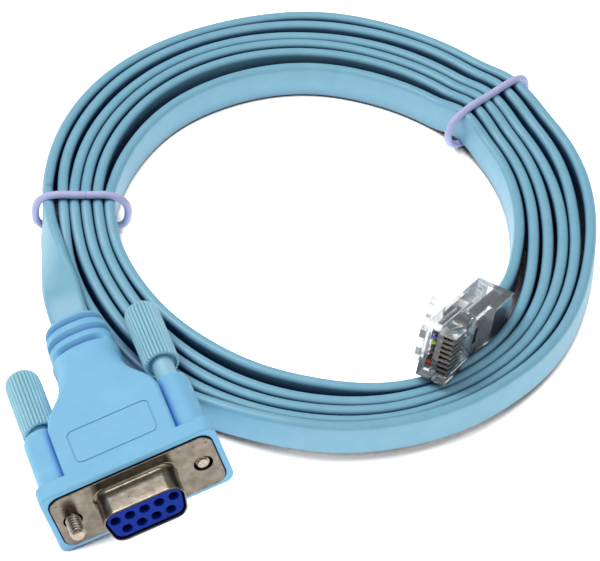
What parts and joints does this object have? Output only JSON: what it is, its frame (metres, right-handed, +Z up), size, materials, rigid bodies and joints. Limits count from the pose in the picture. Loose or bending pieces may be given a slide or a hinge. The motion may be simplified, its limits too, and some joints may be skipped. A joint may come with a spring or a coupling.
{
  "type": "console cable",
  "caption": "Flat serial console cable wound on edge into a tied ring, with a D-sub socket connector on one end and a clear modular plug on the other.",
  "frame": {"origin": "on the floor plane, under the centre of the two connectors' common bounding box", "axes": "+Z up from the floor the cable lies on; +Y away from the viewer, from the D-sub connector towards the far side of the ring; +X to the right, from the D-sub connector towards the modular plug"},
  "size_m": [0.1102, 0.1385, 0.0222],
  "materials": {
    "hood": "soft satin moulding, sky blue",
    "nickel": "nickel plate, slightly dull",
    "insulator": "royal blue, satin",
    "gold": "gold plate",
    "jacket": "soft satin, pale cyan blue",
    "tie": "soft, lavender",
    "clear": "clear moulded plastic",
    "wire_1": "insulated wire",
    "wire_2": "insulated wire",
    "wire_3": "insulated wire",
    "wire_4": "insulated wire",
    "wire_5": "insulated wire",
    "wire_6": "insulated wire",
    "wire_7": "insulated wire",
    "wire_8": "insulated wire"
  },
  "bodies": {
    "cable": {"connector_hood": "hood", "dsub_shell": "nickel", "socket_insulator": "insulator", "socket_contact_1": "gold", "socket_contact_2": "gold", "socket_contact_3": "gold", "socket_contact_4": "gold", "socket_contact_5": "gold", "socket_contact_6": "gold", "socket_contact_7": "gold", "socket_contact_8": "gold", "socket_contact_9": "gold", "cable_coil": "jacket", "cable_lead_connector": "jacket", "cable_lead_plug": "jacket", "tie_left": "tie", "tie_right": "tie", "plug_body": "clear", "contact_1": "gold", "wire_1": "wire_1", "contact_2": "gold", "wire_2": "wire_2", "contact_3": "gold", "wire_3": "wire_3", "contact_4": "gold", "wire_4": "wire_4", "contact_5": "gold", "wire_5": "wire_5", "contact_6": "gold", "wire_6": "wire_6", "contact_7": "gold", "wire_7": "wire_7", "contact_8": "gold", "wire_8": "wire_8", "cable_jacket_end": "jacket"},
    "screw_left": {"thumbscrew_left_screw": "nickel"},
    "knob_left": {"thumbscrew_left_knob": "hood"},
    "screw_right": {"thumbscrew_right_screw": "nickel"},
    "knob_right": {"thumbscrew_right_knob": "hood"}
  },
  "joints": [
    {"name": "thumbscrew_left_slide", "type": "slide", "parent": "cable", "child": "screw_left", "axis": [0.3024, -0.9501, 0.0759], "range_m": [-0.0041, 0.0023]},
    {"name": "thumbscrew_left_spin", "type": "hinge", "parent": "screw_left", "child": "knob_left", "pos_m": [-0.04195, 0.00329, 0.00581], "axis": [0.3024, -0.9501, 0.0759], "continuous": true},
    {"name": "thumbscrew_right_slide", "type": "slide", "parent": "cable", "child": "screw_right", "axis": [0.3024, -0.9501, 0.0759], "range_m": [0, 0.0064]},
    {"name": "thumbscrew_right_spin", "type": "hinge", "parent": "screw_right", "child": "knob_right", "pos_m": [-0.02026, 0.01488, 0.01181], "axis": [0.3024, -0.9501, 0.0759], "continuous": true}
  ]
}
